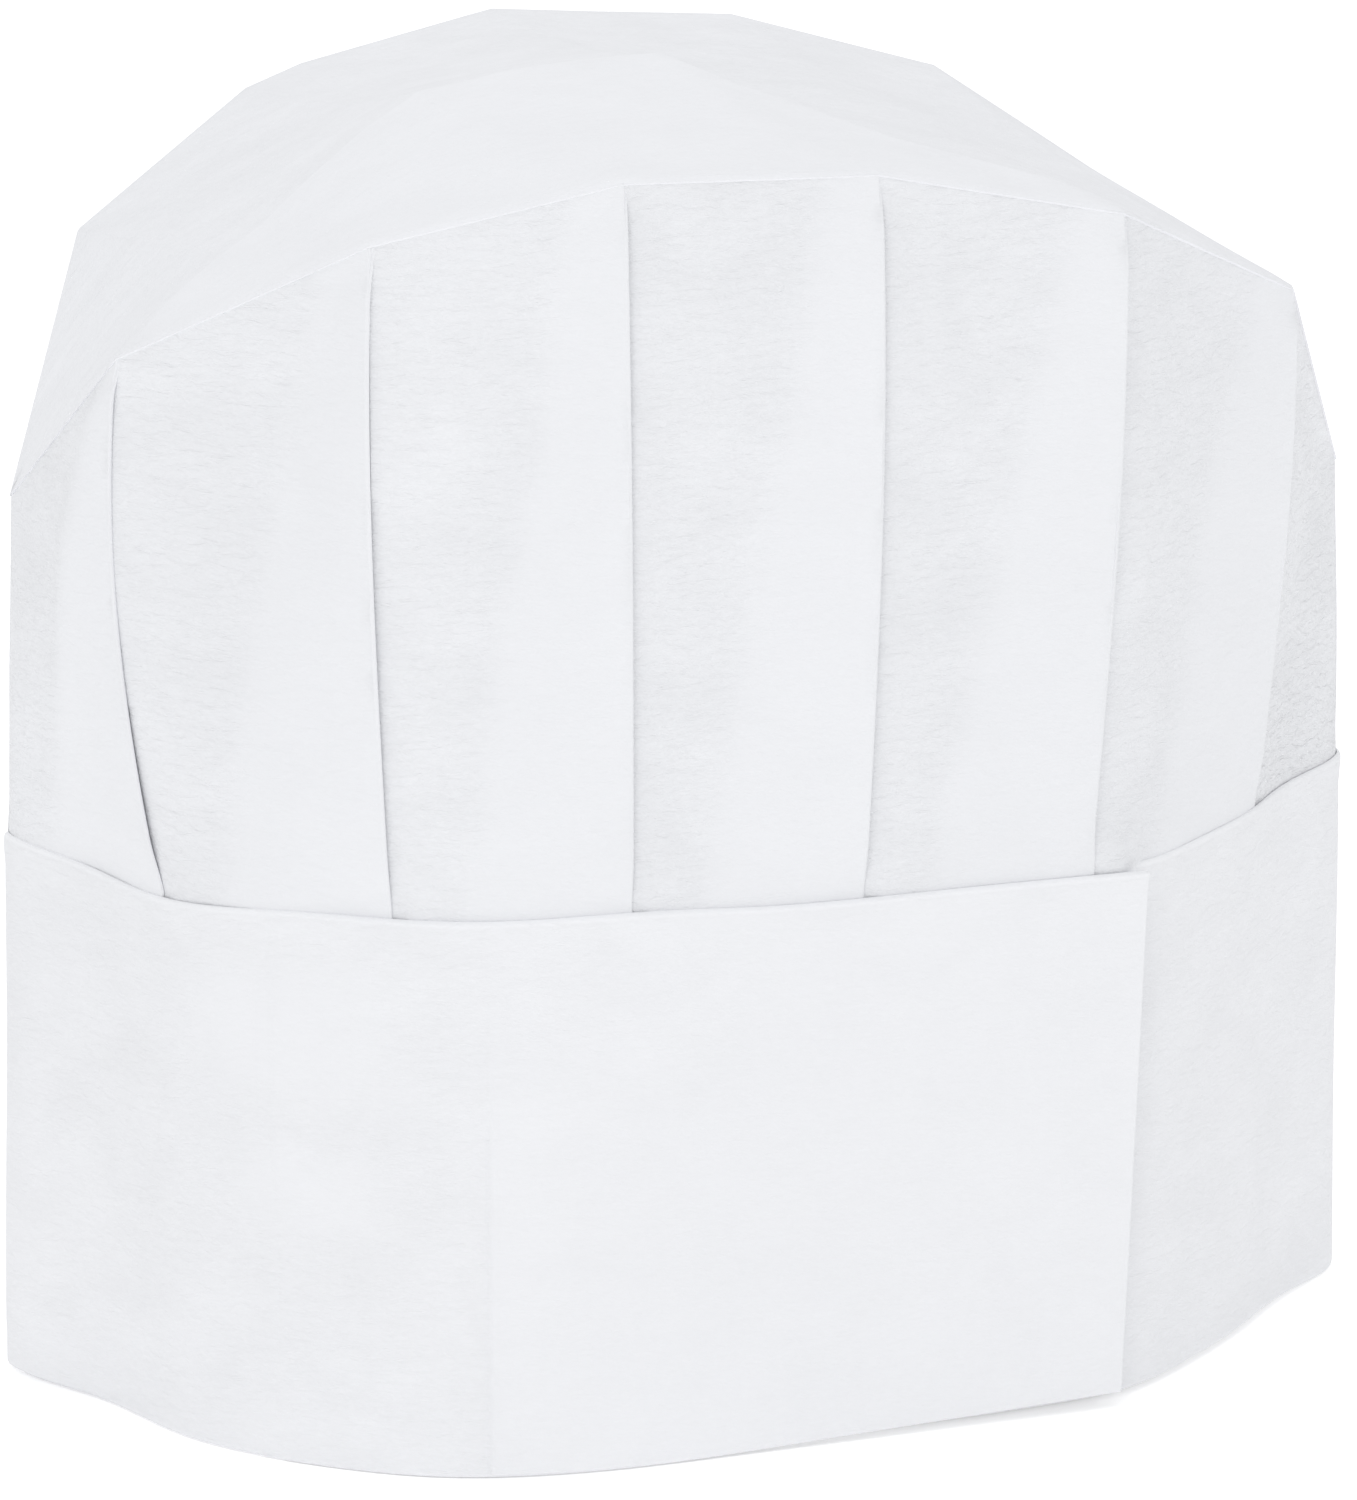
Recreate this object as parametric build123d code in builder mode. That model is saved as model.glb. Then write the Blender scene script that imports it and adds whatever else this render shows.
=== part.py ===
from build123d import *
import math
import os

# Disposable pleated toque: a folded non-woven headband whose ends overlap, a pleated crown
# made of two panels, and an arched top panel seamed to the crown's upper edge.
#
# Frame: millimetres, +Z up. The origin is the centre of the head opening in the plane of the
# band's lower edge. The overlap (the closure) lies on the front, -Y, and is flat there.
# X runs across the hat from the left side seam (-X) to the right one (+X).
#
# "out" is a distance outwards from the band's outer face, so negative values lie inside it.
# "arc" is a length along the plan, from the left side seam by way of the front.

# ------------------------------------------------------------------ driving dimensions
# headband
BAND_H = 85.0            # height of the folded headband
PLY = 0.5                # one ply of the band
GROOVE = 2.9             # space between the two plies, where the crown margin is glued
BAND_T = 2 * PLY + GROOVE
FOLD = 0.6               # thickness of material at the band's lower fold
FRONT_Y = -70.2          # outer face of the band under the overlap
INNER_X = -61.0          # inner end of the strip, beneath the overlap
INNER_SLIT_W = 0.4       # slit cut through the band at that end
INNER_SLIT_DEPTH = 20.0
INNER_SLIT_INSET = 3.0   # centre of the slit, behind FRONT_Y

# overlap
TAIL_GAP = 0.2           # between the plies of the overlap
TAIL_T = 2 * PLY + TAIL_GAP
TAIL_CLEAR = 0.45        # between the flat run and the band beneath it
TAIL_IN_Y = FRONT_Y - TAIL_CLEAR
BEND_X = -84.0           # where the strip starts to run out over its own inner end
BEND_OUT_START = 0.25    # clearance under the curved run, at its start
BEND_OUT_END = 0.6       # and at its end
BEND_STEPS = 24
BEND_CLEAR = 0.4         # slit between the curved run and the flat run
TAIL_X0 = -30.0          # start of the overlap's flat run
TAIL_X1 = 45.0           # free end of the overlap
PEEL_X = 15.0            # crease where the unglued tip begins
TIP_CLEAR = 0.25         # slit at that crease

# closure tape, on the inner face of the overlap
TAPE_X0, TAPE_X1 = -24.0, 11.0
TAPE_Z = 42.0
TAPE_H = 14.0
TAPE_T = 0.25
TAPE_R = 1.5

# crown panels
SHEET = 0.35             # crown sheet
LAYER = 0.85             # distance between neighbouring layers of a knife pleat
UNDERFOLD = 11.0         # how far each pleat is folded back beneath itself
STEP = 2.75              # spacing of the points that draw the curved crown sheet
PANEL_INSET = 0.2        # from a panel's end to its side seam
CROWN_OUT = -1.85        # centre of the pleated wall
CROWN_Z0 = 60.0          # lower edge of the crown margin, inside the band
CROWN_Z1 = 205.0         # height to which the panels are drawn before the arch is cut
CROWN_OVER = 0.3         # how far the wall stands out beyond the arch
FLARE = 0.06             # growth of the crown's plan per 100 mm of height above the band

# arched upper edge
ARCH_BASE = 120.0        # height at the side seams
ARCH_RISE = 78.0         # rise from the side seams to the middle
ARCH_HALF = 110.0        # half width of the arch
ARCH_END = 109.0         # how far out the arch is drawn
ARCH_POW = 2.4           # roundness of the arch shoulders
ARCH_STEPS = 18          # drawn steps from the middle to each end
SLOPE_DX = 0.01          # reach to either side when the arch's slope is taken
CUTTER_HALF_W = 130.0    # half width of the faces that cut the arch
CUTTER_Y = 120.0         # those faces stand here and sweep the same distance past the origin
CUTTER_FLOOR = 40.0      # lower edge of the face that keeps material
REMOVER_FLOOR = 30.0     # lower edge of the face that removes it

# top panel and its seam
TOP_T = 0.5              # top panel sheet
TOP_OUT = -3.6           # edge of the top panel
SEAM_W = 1.1             # width of the seam that joins top panel and wall
SEAM_H = 0.7             # depth of that seam below the top panel
SEAM_GAP = 0.02          # between top panel and seam

# side seam tapes, inside the crown
SIDE_TAPE_W = 9.0
SIDE_TAPE_T = 0.25
SIDE_TAPE_GAP = 0.08     # between the tape and the innermost pleat layer
SIDE_TAPE_Z0 = BAND_H + 2
SIDE_TAPE_Z1 = ARCH_BASE - 3
SIDE_TAPE_STEPS = 6

# hot-melt line between crown margin and inner ply
GLUE_T = 0.22
GLUE_Z, GLUE_H = 64.0, 6.0
GLUE_OUT = -(PLY + GROOVE) + 0.05    # inner face of the line, just clear of the inner ply

# x, y of the band's outer face, one half; the other half is the same turned by 180 degrees
HALF_PLAN = [
    (-108.3, 14.6), (-102.5, -6.2), (-96.8, -29.1), (-85.4, -48.2), (-66.6, -63.2),
    (-46.8, -69.0), (-20.8, FRONT_Y), (10.4, FRONT_Y), (31.2, -69.6), (45.8, -67.0),
    (60.4, -58.3), (79.1, -42.7), (95.8, -27.1),
]
# outer fold of each knife pleat, measured along the plan from the panel's first side seam
FRONT_PLEATS = [42.6, 85.1, 122.2, 160.5, 200.1, 249.2]
BACK_PLEATS = [60.0, 93.5, 125.0, 162.4, 196.9, 245.9]

# ------------------------------------------------------------------ plan curve helpers
PLAN = Spline(*HALF_PLAN, *[(-x, -y) for x, y in HALF_PLAN], periodic=True)
GIRTH = PLAN.length
LOOP_POINTS = 96


def plan_point(arc, out):
    """Point on the plan at an arc length, moved outwards."""
    fraction = (arc / GIRTH) % 1.0
    point = PLAN.position_at(fraction)
    tangent = PLAN.tangent_at(fraction)
    return (point.X + tangent.Y * out, point.Y - tangent.X * out)


def plan_loop(out):
    """Points around the whole plan at a constant distance from the band's outer face."""
    return [plan_point(GIRTH * i / LOOP_POINTS, out) for i in range(LOOP_POINTS)]


def ramp(arc0, arc1, out0, out1, steps):
    """Stations (arc, out) spaced evenly from one station to another."""
    return [
        (arc0 + (arc1 - arc0) * i / steps, out0 + (out1 - out0) * i / steps)
        for i in range(steps + 1)
    ]


def ribbon(stations, inner, outer):
    """Outline of a strip along the stations, between two distances outwards of them."""
    outer_side = [plan_point(arc, out + outer) for arc, out in stations]
    inner_side = [plan_point(arc, out + inner) for arc, out in reversed(stations)]
    return outer_side + inner_side


def arc_at(x):
    """Arc length on the front run where the plan passes x, found by bisection."""
    low, high = 10.0, 140.0
    for _ in range(50):
        middle = (low + high) / 2
        if plan_point(middle, 0.0)[0] < x:
            low = middle
        else:
            high = middle
    return low


def flared(points, z):
    """Plan points as they lie at height z on the flared crown."""
    scale = 1.0 + FLARE * max(0.0, z - BAND_H) / 100.0
    return [(x * scale, y * scale) for x, y in points]


# ------------------------------------------------------------------ headband
def make_headband():
    with BuildPart() as band:
        # the full wall, then the groove between its plies, open at the top
        for base, outer, inner, mode in (
            (0.0, 0.0, -BAND_T, Mode.ADD),
            (FOLD, -PLY, -(PLY + GROOVE), Mode.SUBTRACT),
        ):
            with BuildSketch(Plane.XY.offset(base)):
                with BuildLine():
                    Spline(*plan_loop(outer), periodic=True)
                make_face()
                with BuildLine():
                    Spline(*plan_loop(inner), periodic=True)
                make_face(mode=Mode.SUBTRACT)
            extrude(amount=BAND_H, mode=mode)
        # the strip's inner end lies beneath the overlap
        with BuildSketch(Plane.XY.offset(-1)):
            with Locations((INNER_X, FRONT_Y + INNER_SLIT_INSET)):
                Rectangle(INNER_SLIT_W, INNER_SLIT_DEPTH)
        extrude(amount=BAND_H + 2, mode=Mode.SUBTRACT)
    return band.part


# ------------------------------------------------------------------ overlapping end of the band
def make_tail_bend():
    """Curved run of the overlap."""
    stations = ramp(arc_at(BEND_X), arc_at(TAIL_X0 - BEND_CLEAR),
                    BEND_OUT_START, BEND_OUT_END, BEND_STEPS)
    with BuildPart() as bend:
        # both plies, then the gap between them
        for base, inner, outer, mode in (
            (0.0, 0.0, TAIL_T, Mode.ADD),
            (FOLD, PLY, PLY + TAIL_GAP, Mode.SUBTRACT),
        ):
            with BuildSketch(Plane.XY.offset(base)):
                with BuildLine():
                    Polyline(*ribbon(stations, inner, outer), close=True)
                make_face()
            extrude(amount=BAND_H, mode=mode)
    return bend.part


def make_flat_run(x0, x1):
    """Flat run of the overlap: two plies joined by the lower fold."""
    middle_y = TAIL_IN_Y - TAIL_T / 2
    with BuildPart() as run:
        with BuildSketch(Plane.YZ.offset(x0)):
            with Locations((middle_y, BAND_H / 2)):
                Rectangle(TAIL_T, BAND_H)
            with Locations((middle_y, BAND_H / 2 + FOLD)):
                Rectangle(TAIL_GAP, BAND_H, mode=Mode.SUBTRACT)
        extrude(amount=x1 - x0)
    return run.part


def make_closure_tape():
    with BuildPart() as tape:
        # the XZ plane faces -Y, so the tape grows forwards to the overlap's inner face
        with BuildSketch(Plane.XZ.offset(-(TAIL_IN_Y + TAPE_T))):
            with Locations(((TAPE_X0 + TAPE_X1) / 2, TAPE_Z)):
                RectangleRounded(TAPE_X1 - TAPE_X0, TAPE_H, TAPE_R)
        extrude(amount=TAPE_T)
    return tape.part


# ------------------------------------------------------------------ arched upper edge
def arch_height(x):
    reach = min(1.0, abs(x) / ARCH_HALF)
    return ARCH_BASE + ARCH_RISE * math.sqrt(max(0.0, 1.0 - reach**ARCH_POW))


def arch_points(shift):
    """The arch as (x, z), moved outwards square to itself."""
    points = []
    for i in range(-ARCH_STEPS, ARCH_STEPS + 1):
        x = ARCH_END * math.sin(math.pi / 2 * i / ARCH_STEPS)
        rise = arch_height(x + SLOPE_DX) - arch_height(x - SLOPE_DX)
        slope = rise / (2 * SLOPE_DX)
        length = math.hypot(1.0, slope)
        points.append((x - slope / length * shift, arch_height(x) + shift / length))
    return points


def under_arch(shift, floor):
    """Face between a level and the shifted arch, standing behind the hat and facing it."""
    points = arch_points(shift)
    with BuildSketch(Plane.XZ.offset(-CUTTER_Y)) as face:
        with BuildLine():
            Spline(*points)
            Polyline(points[-1], (CUTTER_HALF_W, ARCH_BASE), (CUTTER_HALF_W, floor),
                     (-CUTTER_HALF_W, floor), (-CUTTER_HALF_W, ARCH_BASE), points[0])
        make_face()
    return face.sketch


# ------------------------------------------------------------------ crown panels
def pleated_line(start, end, folds):
    """Centre line of one pleated crown panel, from one side seam to the other."""
    stations = []

    def run(arc0, arc1, out0, out1):
        stations.extend(ramp(arc0, arc1, out0, out1, round(abs(arc1 - arc0) / STEP)))

    arc, out = start + PANEL_INSET, 0.0
    for fold in folds:
        edge = start + fold
        run(arc, edge, out, LAYER)
        run(edge, edge - UNDERFOLD, 0.0, 0.0)
        arc, out = edge - UNDERFOLD, -LAYER
    run(arc, end - PANEL_INSET, out, 0.0)
    return [plan_point(arc, CROWN_OUT + out) for arc, out in stations]


def direction(start, end):
    """Unit vector from one point to another."""
    dx, dy = end[0] - start[0], end[1] - start[1]
    length = math.hypot(dx, dy)
    return (dx / length, dy / length)


def thicken(line, thickness):
    """Outline of a folded sheet around an open centre line, with limited mitres."""
    directions = [direction(a, b) for a, b in zip(line, line[1:])]
    left, right = [], []
    for i, (x, y) in enumerate(line):
        # the one or two segments that meet at this point
        meeting = directions[max(0, i - 1):i + 1]
        normal_x = -sum(dy for _, dy in meeting) / len(meeting)
        normal_y = sum(dx for dx, _ in meeting) / len(meeting)
        length = math.hypot(normal_x, normal_y)
        normal_x, normal_y = normal_x / length, normal_y / length
        first_dx, first_dy = meeting[0]
        cosine = normal_y * first_dx - normal_x * first_dy
        reach = thickness / 2 * min(2.0, 1.0 / max(0.5, cosine))
        left.append((x + normal_x * reach, y + normal_y * reach))
        right.append((x - normal_x * reach, y - normal_y * reach))
    return left + right[::-1]


def make_crown_panel(start, end, folds):
    outline = thicken(pleated_line(start, end, folds), SHEET)
    with BuildPart() as panel:
        for z in (CROWN_Z0, BAND_H, CROWN_Z1):
            with BuildSketch(Plane.XY.offset(z)):
                with BuildLine():
                    Polyline(*flared(outline, z), close=True)
                make_face()
        loft(ruled=True)
        # the upper edge is cut to an arch
        extrude(under_arch(CROWN_OVER, CUTTER_FLOOR), amount=2 * CUTTER_Y, mode=Mode.INTERSECT)
    return panel.part


# ------------------------------------------------------------------ top panel and its seam
def plan_faces(out):
    """Plan of the flared crown at its lower and upper level."""
    faces = []
    for z in (BAND_H, CROWN_Z1):
        with BuildSketch(Plane.XY.offset(z)) as level:
            with BuildLine():
                Polyline(*flared(plan_loop(out), z), close=True)
            make_face()
        faces.append(level.sketch.face())
    return faces


def make_arched_sheet(outer, inner, above, below):
    """A sheet that follows the arch, cut to the plan (an edge strip if inner is given)."""
    with BuildPart() as sheet:
        loft(plan_faces(outer), ruled=True)
        if inner is not None:
            loft(plan_faces(inner), ruled=True, mode=Mode.SUBTRACT)
        extrude(under_arch(above, CUTTER_FLOOR), amount=2 * CUTTER_Y, mode=Mode.INTERSECT)
        extrude(under_arch(below, REMOVER_FLOOR), amount=2 * CUTTER_Y, mode=Mode.SUBTRACT)
    return sheet.part


# ------------------------------------------------------------------ side seams and glue line
def make_side_seam(arc):
    outer = CROWN_OUT - LAYER - SHEET / 2 - SIDE_TAPE_GAP
    stations = ramp(arc - SIDE_TAPE_W / 2, arc + SIDE_TAPE_W / 2, 0.0, 0.0, SIDE_TAPE_STEPS)
    outline = ribbon(stations, outer - SIDE_TAPE_T, outer)
    with BuildPart() as seam:
        for z in (SIDE_TAPE_Z0, SIDE_TAPE_Z1):
            with BuildSketch(Plane.XY.offset(z)):
                with BuildLine():
                    Polyline(*flared(outline, z), close=True)
                make_face()
        loft(ruled=True)
    return seam.part


def make_glue_line():
    with BuildPart() as glue:
        with BuildSketch(Plane.XY.offset(GLUE_Z)):
            with BuildLine():
                Spline(*plan_loop(GLUE_OUT + GLUE_T), periodic=True)
            make_face()
            with BuildLine():
                Spline(*plan_loop(GLUE_OUT), periodic=True)
            make_face(mode=Mode.SUBTRACT)
        extrude(amount=GLUE_H)
    return glue.part


# ------------------------------------------------------------------ one STEP file per piece
pieces = {
    "headband": make_headband(),
    "tail_bend": make_tail_bend(),
    "band_tail": make_flat_run(TAIL_X0, PEEL_X),
    "tail_tip": make_flat_run(PEEL_X + TIP_CLEAR, TAIL_X1),
    "closure_tape": make_closure_tape(),
    "crown_front": make_crown_panel(0.0, GIRTH / 2, FRONT_PLEATS),
    "crown_back": make_crown_panel(GIRTH / 2, GIRTH, BACK_PLEATS),
    "crown_top": make_arched_sheet(TOP_OUT, None, 0.0, -TOP_T),
    "top_seam": make_arched_sheet(TOP_OUT, TOP_OUT - SEAM_W, -TOP_T - SEAM_GAP, -TOP_T - SEAM_H),
    "side_seam_left": make_side_seam(0.0),
    "side_seam_right": make_side_seam(GIRTH / 2),
    "band_glue_line": make_glue_line(),
}
os.makedirs("parts", exist_ok=True)
for name, part in pieces.items():
    part.label = name
    export_step(part, f"parts/{name}.step")
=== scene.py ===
"""A white nonwoven hat: a double headband under a pleated crown with a peaked top panel.

The hat stands on the floor at z = 0 with its long axis along x. Left is -x, right is +x, the
front is -y and the back +y. Shapes are worked out in millimetres and built in metres. `arc` is
the distance along the band's plan curve: it starts at the left end, runs along the front to the
right end and returns along the back. An offset is measured outward from that curve.
"""

import functools
import math

import bpy
import numpy as np
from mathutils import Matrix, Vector


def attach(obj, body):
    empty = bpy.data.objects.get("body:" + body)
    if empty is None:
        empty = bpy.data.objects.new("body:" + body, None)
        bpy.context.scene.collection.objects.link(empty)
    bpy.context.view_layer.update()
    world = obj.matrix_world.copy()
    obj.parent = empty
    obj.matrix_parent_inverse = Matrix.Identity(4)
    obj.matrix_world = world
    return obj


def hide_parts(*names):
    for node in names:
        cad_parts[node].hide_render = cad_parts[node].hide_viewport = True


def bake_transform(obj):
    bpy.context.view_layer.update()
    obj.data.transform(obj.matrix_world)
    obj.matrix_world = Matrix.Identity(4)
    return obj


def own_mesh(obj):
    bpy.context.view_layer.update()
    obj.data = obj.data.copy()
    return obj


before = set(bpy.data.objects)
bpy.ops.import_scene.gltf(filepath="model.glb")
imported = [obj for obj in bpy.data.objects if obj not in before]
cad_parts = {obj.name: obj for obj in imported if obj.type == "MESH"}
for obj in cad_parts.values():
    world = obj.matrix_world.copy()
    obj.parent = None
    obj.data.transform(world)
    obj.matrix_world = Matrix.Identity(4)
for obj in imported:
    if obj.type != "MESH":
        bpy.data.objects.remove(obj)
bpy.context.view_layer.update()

MM = 0.001

# ------------------------------------------------------------------ plan of the hat
# Half of the plan curve, x and y in mm; a half turn gives the other half.
HALF_PLAN = [
    (-108.3, 14.6), (-102.5, -6.2), (-96.8, -29.1), (-85.4, -48.2), (-66.6, -63.2),
    (-46.8, -69.0), (-20.8, -70.2), (10.4, -70.2), (31.2, -69.6), (45.8, -67.0),
    (60.4, -58.3), (79.1, -42.7), (95.8, -27.1),
]
PLAN_LENGTH_FACTOR = 0.99       # shortens the plan along x
PLAN = np.array([(x * PLAN_LENGTH_FACTOR, y)
                 for x, y in HALF_PLAN + [(-x, -y) for x, y in HALF_PLAN]])
SPLINE_STEPS = 260              # curve points per plan point
TANGENT_REACH = 1.2             # half the span over which the direction is taken


def periodic_spline(points):
    """Closed cubic spline through the points, from its second derivatives."""
    count = len(points)
    gaps = np.hypot(*(np.roll(points, -1, 0) - points).T)
    matrix = np.zeros((count, count))
    right = np.zeros((count, 2))
    for i in range(count):
        j = (i + 1) % count
        before, after = gaps[i - 1], gaps[i]
        matrix[i, (i - 1) % count] += before
        matrix[i, i] += 2 * (before + after)
        matrix[i, j] += after
        right[i] = 6 * ((points[j] - points[i]) / after - (points[i] - points[i - 1]) / before)
    bend = np.linalg.solve(matrix, right)
    t = np.linspace(0, 1, SPLINE_STEPS, endpoint=False)[:, None]
    rest = 1 - t
    curve = []
    for i in range(count):
        j = (i + 1) % count
        curve.append(rest * points[i] + t * points[j]
                     + gaps[i] ** 2 / 6 * ((rest**3 - rest) * bend[i] + (t**3 - t) * bend[j]))
    return np.vstack(curve)


CURVE = periodic_spline(PLAN)
CURVE = np.vstack([CURVE, CURVE[:1]])
CURVE_ARC = np.r_[0.0, np.cumsum(np.hypot(*np.diff(CURVE, axis=0).T))]
GIRTH = CURVE_ARC[-1]


def base(arc):
    """Point of the plan curve."""
    arc = np.mod(arc, GIRTH)
    return np.stack([np.interp(arc, CURVE_ARC, CURVE[:, i]) for i in (0, 1)], -1)


def outward(arc):
    """Unit outward direction of the plan curve."""
    along = base(arc + TANGENT_REACH) - base(arc - TANGENT_REACH)
    along /= np.linalg.norm(along, axis=-1, keepdims=True)
    return np.stack([along[..., 1], -along[..., 0]], -1)


def at(arc, offset):
    return base(arc) + outward(arc) * np.asarray(offset)[..., None]


def arc_of_x(x, low, high):
    """Arc on the front run, between low and high, where the plan passes x."""
    arcs = np.linspace(low, high, 4000)
    return float(np.interp(x, base(arcs)[:, 0], arcs))


def smooth(start, end, x):
    """Smooth step from 0 at start to 1 at end; end may lie below start."""
    t = np.clip((x - start) / (end - start), 0, 1)
    return t * t * (3 - 2 * t)


def hump(x, centre, width):
    return np.exp(-((x - centre) / width) ** 2)


@functools.lru_cache(maxsize=None)
def wave_terms(seed):
    """Seven sine waves: direction cosine and sine, relative length, phase."""
    rng = np.random.RandomState(seed)
    draws = [(rng.uniform(-0.9, 0.9), rng.uniform(0.6, 2.2), rng.uniform(0, 6.28))
             for _ in range(7)]
    return [(math.cos(angle), math.sin(angle), length, phase) for angle, length, phase in draws]


def wave(arc, z, seed, size):
    """Gentle unevenness of a stiff sheet, about -1 to 1."""
    total = 0.0
    for cosine, sine, length, phase in wave_terms(seed):
        angle = (arc * cosine + z * sine) * (2 * math.pi / (size * length)) + phase
        total = total + np.sin(angle) / 3.2
    return total


# ------------------------------------------------------------------ mesh helpers
SHARP_ANGLE = math.radians(48)


def build(name, verts, faces, uvs):
    """Smooth-shaded object from points and UVs in mm."""
    mesh = bpy.data.meshes.new(name)
    mesh.from_pydata([tuple(v) for v in np.asarray(verts) * MM], [], faces)
    mesh.update()
    layer = mesh.uv_layers.new(name="UVMap")
    corners = np.zeros(len(mesh.loops), int)
    mesh.loops.foreach_get("vertex_index", corners)
    layer.data.foreach_set("uv", (np.asarray(uvs)[corners] * MM).astype(np.float32).ravel())
    mesh.polygons.foreach_set("use_smooth", [True] * len(mesh.polygons))
    mesh.update()
    mesh.set_sharp_from_angle(angle=SHARP_ANGLE)
    ob = bpy.data.objects.new(name, mesh)
    bpy.context.scene.collection.objects.link(ob)
    return ob


def mark(ob, values):
    """Vertex attribute: 0 single sheet, 1 two sheets together; lower values also paint shade
    and higher ones paint highlights.
    """
    attribute = ob.data.attributes.new("ply_and_painted_light", "FLOAT", "POINT")
    attribute.data.foreach_set("value", np.asarray(values, np.float32).ravel())


def grid_faces(rows, cols, start=0, wrap_cols=False, flip=False):
    faces = []
    for r in range(rows - 1):
        for c in range(cols if wrap_cols else cols - 1):
            here = start + r * cols + c
            beside = start + r * cols + (c + 1) % cols
            above, across = here + cols, beside + cols
            faces.append((here, above, across, beside) if flip
                         else (here, beside, across, above))
    return faces


def grid_normals(points):
    """Vertex normals of a grid of points, rows by columns."""
    normals = np.cross(np.gradient(points, axis=1), np.gradient(points, axis=0))
    return normals / np.maximum(np.linalg.norm(normals, axis=-1, keepdims=True), 1e-9)


def sheet(name, points, uvs, thickness, normals=None):
    """Closed solid sheet around a grid of points."""
    rows, cols = points.shape[:2]
    if normals is None:
        normals = grid_normals(points)
    sides = [(points + normals * d).reshape(-1, 3) for d in (thickness / 2, -thickness / 2)]
    count = rows * cols
    faces = grid_faces(rows, cols) + grid_faces(rows, cols, count, flip=True)
    for c in range(cols - 1):
        faces.append((c + 1, c, count + c, count + c + 1))
        i = (rows - 1) * cols + c
        faces.append((i, i + 1, count + i + 1, count + i))
    for r in range(rows - 1):
        i = r * cols
        faces.append((i, i + cols, count + i + cols, count + i))
        i += cols - 1
        faces.append((i + cols, i, count + i, count + i + cols))
    uvs = uvs.reshape(-1, 2)
    return build(name, np.vstack(sides), faces, np.vstack([uvs, uvs]))


def tube(name, rings, uvs, joined=False):
    """Solid swept through closed cross-sections: capped, or joined end to end."""
    rings = np.asarray(rings)
    rows, cols = rings.shape[:2]
    faces = grid_faces(rows, cols, wrap_cols=True)
    last = (rows - 1) * cols
    if joined:
        for c in range(cols):
            after = (c + 1) % cols
            faces.append((last + c, last + after, after, c))
    else:
        faces.append(tuple(range(cols)))
        faces.append(tuple(last + c for c in reversed(range(cols))))
    return build(name, rings.reshape(-1, 3), faces, np.asarray(uvs).reshape(-1, 2))


def outline_part(offset, z):
    """Points of a cross-section, one row each: offset, height."""
    return np.column_stack(np.broadcast_arrays(offset, z))


# ------------------------------------------------------------------ materials
class Graph:
    """An emptied node tree with short ways to add and join nodes."""

    def __init__(self, tree):
        tree.nodes.clear()
        self.tree = tree

    def feed(self, socket, value):
        """Link a socket to the input, or set its value."""
        if isinstance(value, bpy.types.NodeSocket):
            self.tree.links.new(value, socket)
        else:
            socket.default_value = value

    def node(self, kind, inputs=None, **settings):
        node = self.tree.nodes.new("ShaderNode" + kind)
        for key, value in settings.items():
            setattr(node, key, value)
        for key, value in (inputs or {}).items():
            self.feed(node.inputs[key], value)
        return node

    def math(self, operation, first, second):
        return self.node("Math", {0: first, 1: second}, operation=operation).outputs[0]

    def mix_colour(self, factor, first, second):
        # sockets 6 and 7 and output 2 are the node's colours
        return self.node("Mix", {0: factor, 6: first, 7: second}, data_type="RGBA").outputs[2]

    def noise(self, uv, scale, detail, rough, distort, place=(0, 0, 0)):
        """Noise stretched over the UVs; scale is per metre along u and v."""
        mapping = self.node("Mapping", {"Scale": (*scale, 1), "Location": place, "Vector": uv})
        return self.node("TexNoise", {"Scale": 1.0, "Detail": detail, "Roughness": rough,
                                      "Distortion": distort,
                                      "Vector": mapping.outputs[0]}).outputs[0]


def web_colour(graph, fibre, web, drift, tone, fleck, cloud, ply_and_painted_light):
    """Fibres and web density around one cool white."""
    spread = 0.045 * cloud
    ramp = graph.node("ValToRGB")
    dark, light = ramp.color_ramp.elements
    dark.position = 0.30
    light.position = 0.70
    dark.color = tuple(c * (1 - spread) for c in tone) + (1,)
    light.color = tuple(min(1.0, c * (1 + spread * 0.6)) for c in tone) + (1,)
    shares = (0.45 * fleck, 0.75 - 0.25 * fleck, 0.25)
    parts = [graph.math("MULTIPLY", noise, share)
             for noise, share in zip((fibre, web, drift), shares)]
    total = graph.math("ADD", graph.math("ADD", parts[0], parts[1]), parts[2])
    # bring the mean back to the middle of the ramp
    value = graph.math("ADD", total, 0.5 - 0.5 * sum(shares))
    if ply_and_painted_light:
        # where two sheets lie together the fabric looks smoother and a touch whiter; the same
        # attribute also carries painted shade (low values, darker) and painted highlight (high
        # values, lighter)
        contrast = graph.math("SUBTRACT", 1.5, graph.math("MULTIPLY", ply_and_painted_light, 0.95))
        contrast = graph.math("MINIMUM", graph.math("MAXIMUM", contrast, 0.35), 1.8)
        value = graph.math(
            "ADD", graph.math("MULTIPLY", graph.math("SUBTRACT", value, 0.5), contrast),
            graph.math("ADD", 0.455, graph.math("MULTIPLY", ply_and_painted_light, 0.085)))
    graph.feed(ramp.inputs[0], value)
    return ramp.outputs[0]


def add_specks(graph, uv, colour):
    """Rare small brownish specks: dots at the centres of some Voronoi cells."""
    mapping = graph.node("Mapping", {"Scale": (46, 46, 1), "Vector": uv})
    cells = graph.node("TexVoronoi", {"Scale": 1.0, "Randomness": 1.0,
                                      "Vector": mapping.outputs[0]})
    near = graph.math("LESS_THAN", cells.outputs["Distance"], 0.011)
    chance = graph.node("SeparateColor", {0: cells.outputs["Color"]})
    rare = graph.math("GREATER_THAN", chance.outputs[0], 0.80)
    mask = graph.math("MULTIPLY", graph.math("MULTIPLY", near, rare), 0.5)
    return graph.mix_colour(mask, colour, (0.35, 0.33, 0.30, 1))


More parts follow.
